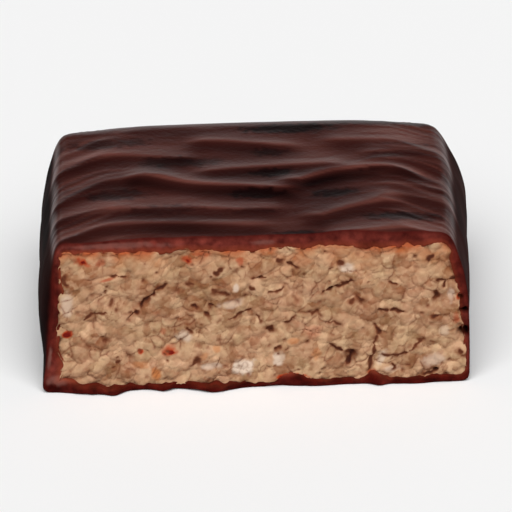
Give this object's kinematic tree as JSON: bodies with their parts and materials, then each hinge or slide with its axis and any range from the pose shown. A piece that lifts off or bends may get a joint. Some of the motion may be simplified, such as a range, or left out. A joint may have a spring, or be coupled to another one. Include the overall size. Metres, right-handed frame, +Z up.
{
  "type": "glazed sunflower halva candy, cut half",
  "caption": "Cut half of a sunflower halva bar in dark glaze: rippled top, rounded end, crumbly filling bare at the cut.",
  "frame": {"origin": "centre of the bounding box at the foot, on the surface that the candy lies on", "axes": "+X along the cut face, from its left to its right; +Y from the cut face to the rounded end; +Z up"},
  "size_m": [0.0386, 0.03, 0.0151],
  "materials": {
    "glaze": "dark brown chocolate glaze with a satin gloss, redder and rougher where the knife went through it",
    "halva": "dull crumbly sunflower halva, pale brown with darker cracks, paler crumbs and a few rusty specks"
  },
  "bodies": {
    "root": {"glaze_shell": "glaze", "halva_core": "halva"}
  },
  "joints": []
}
